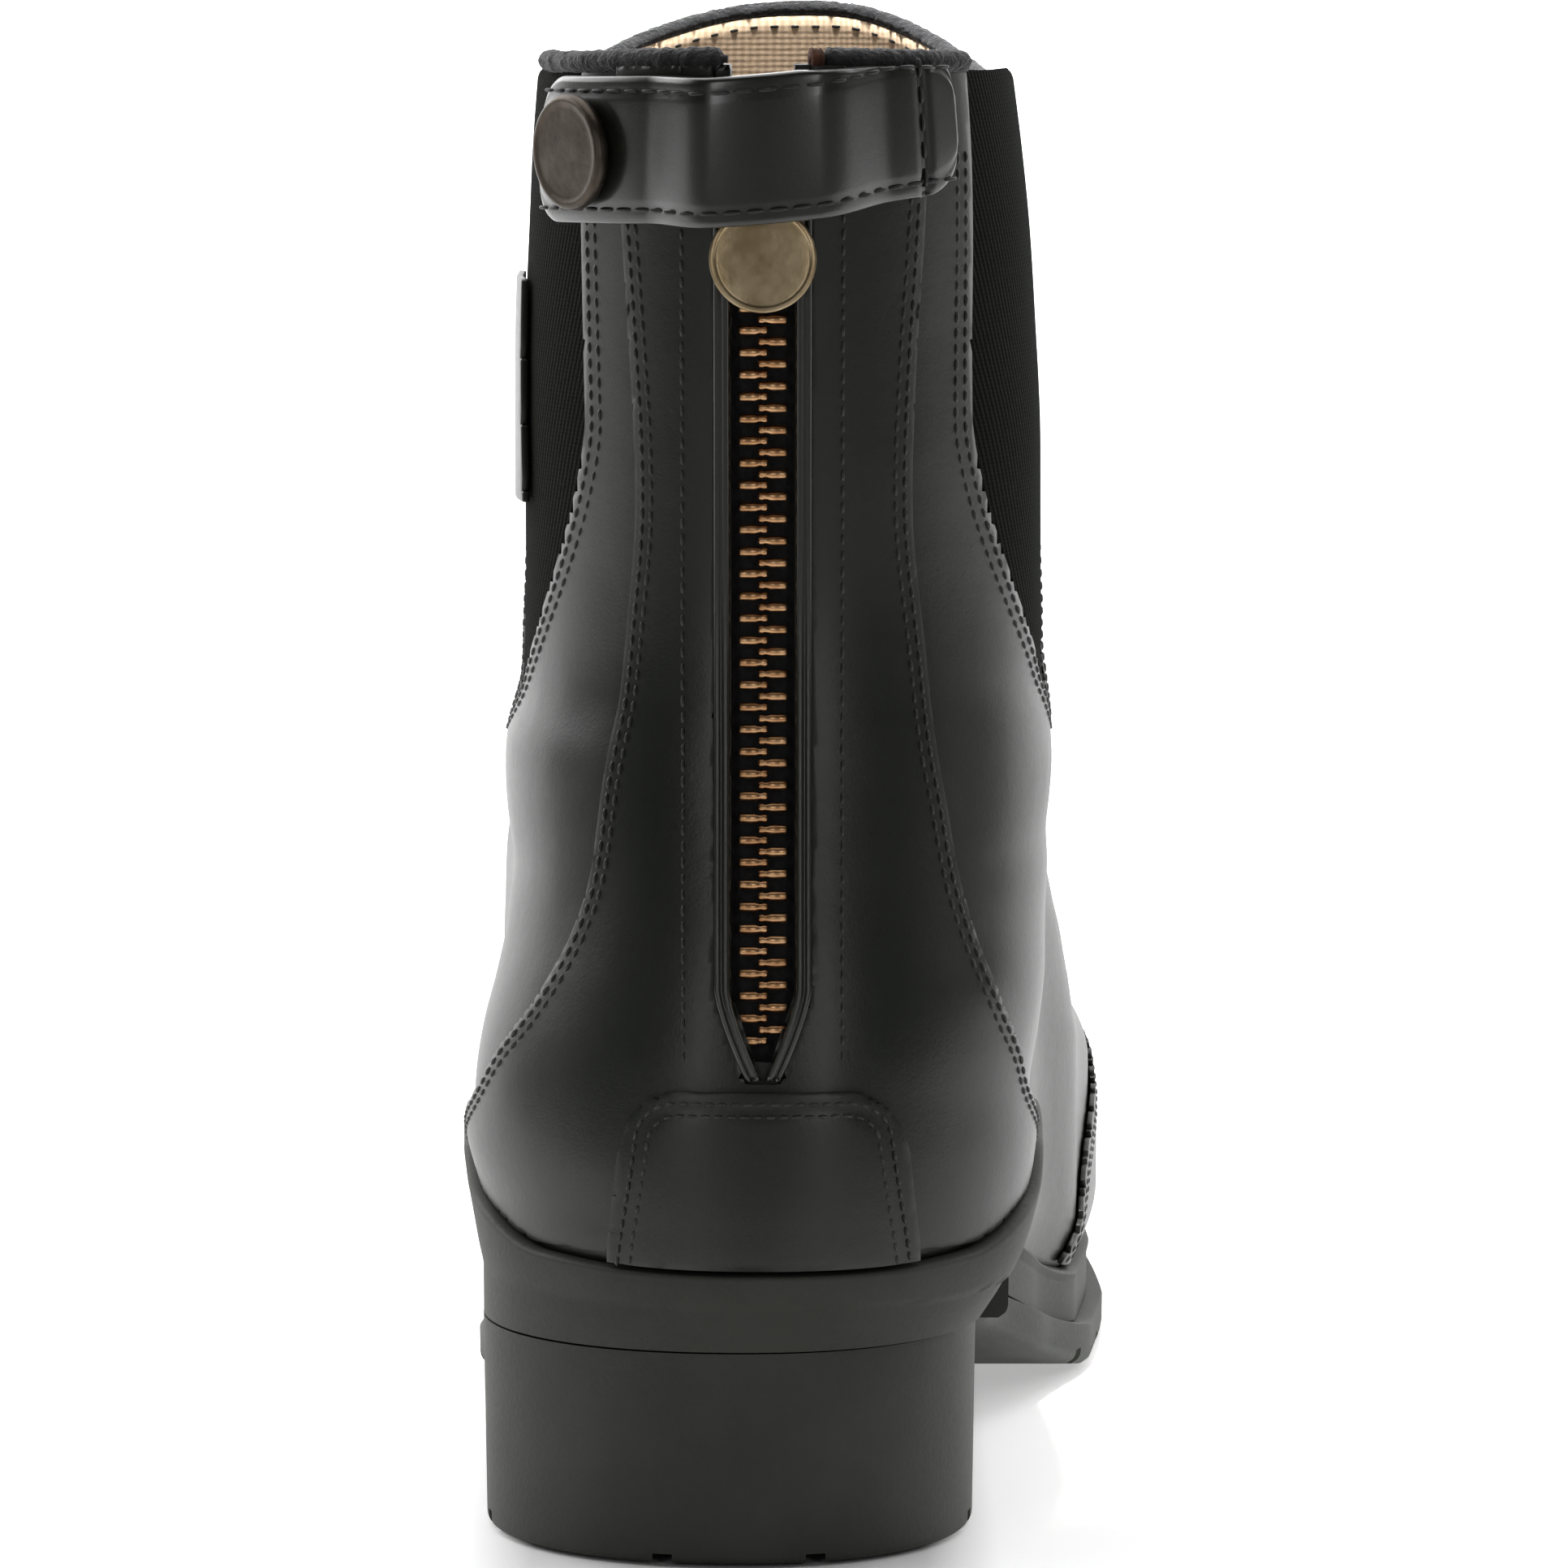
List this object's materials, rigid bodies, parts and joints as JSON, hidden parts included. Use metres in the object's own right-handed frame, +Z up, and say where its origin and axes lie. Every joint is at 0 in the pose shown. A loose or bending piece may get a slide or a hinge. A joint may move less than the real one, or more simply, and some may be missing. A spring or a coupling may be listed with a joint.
{
  "type": "paddock boot",
  "caption": "Left ankle-high leather riding boot with a back zip under a snap strap, elastic sides, toe cap and a moulded rubber sole with a block heel.",
  "frame": {"origin": "on the floor under the middle of the heel block", "axes": "+Y from the heel to the toe, +X to the inner side of the left foot, +Z up"},
  "size_m": [0.0933, 0.2717, 0.2021],
  "materials": {
    "leather": "smooth, softly waxed",
    "elastic": "twill elastic",
    "zip_tape": "woven tape",
    "lining": "knitted lining",
    "rubber": "matte",
    "antique_brass": "aged",
    "tooth_metal": "worn"
  },
  "bodies": {
    "boot": {"upper": "leather", "gusset_outer": "elastic", "gusset_inner": "elastic", "toe_cap": "leather", "back_panel": "leather", "heel_patch": "leather", "side_tab": "leather", "zip_tape": "zip_tape", "zip_lip_outer": "leather", "zip_lip_inner": "leather", "zip_teeth_outer": "tooth_metal", "zip_teeth_inner": "tooth_metal", "zip_slider": "antique_brass", "strap": "leather", "snap_cap": "antique_brass", "sole_cup": "rubber", "outsole": "rubber", "heel_block": "rubber", "insole": "lining"},
    "pull": {"zip_pull": "antique_brass"}
  },
  "joints": [
    {"name": "pull_swing", "type": "hinge", "parent": "boot", "child": "pull", "pos_m": [0.0046, -0.03454, 0.18132], "axis": [1, 0, 0], "range_deg": [-5, 5]}
  ]
}
